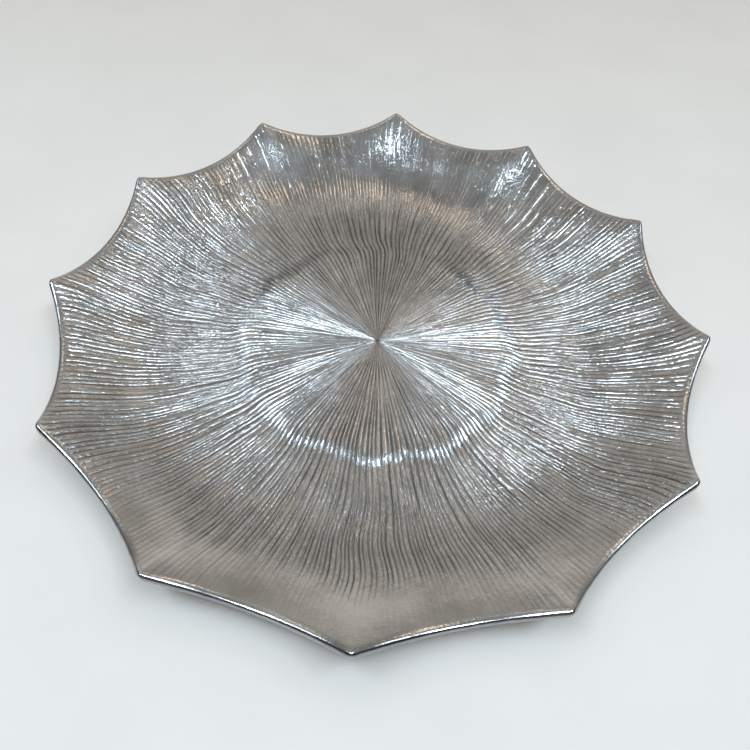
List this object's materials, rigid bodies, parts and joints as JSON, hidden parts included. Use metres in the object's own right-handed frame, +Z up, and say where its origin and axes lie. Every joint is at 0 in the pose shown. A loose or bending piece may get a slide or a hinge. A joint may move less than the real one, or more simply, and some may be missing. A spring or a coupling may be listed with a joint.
{
  "type": "offering plate",
  "caption": "Shallow cast-aluminium platter with a scalloped rim drawn out into points, fine radial ridges and a slightly raised centre; rests on felt pads and holds offerings or fruit.",
  "frame": {"origin": "on the resting plane, under the middle of the dish", "axes": "+Z up out of the dish, one point of the rim on +X and one on each other axis, -Y towards the front"},
  "size_m": [0.4, 0.4, 0.0386],
  "materials": {
    "cast_aluminium": "polished casting with fine broken radial ridges and a bright rounded rim",
    "felt": "matt dark grey pressed felt"
  },
  "bodies": {
    "root": {"dish": "cast_aluminium", "pad_back_right": "felt", "pad_back_left": "felt", "pad_front_left": "felt", "pad_front_right": "felt"}
  },
  "joints": []
}
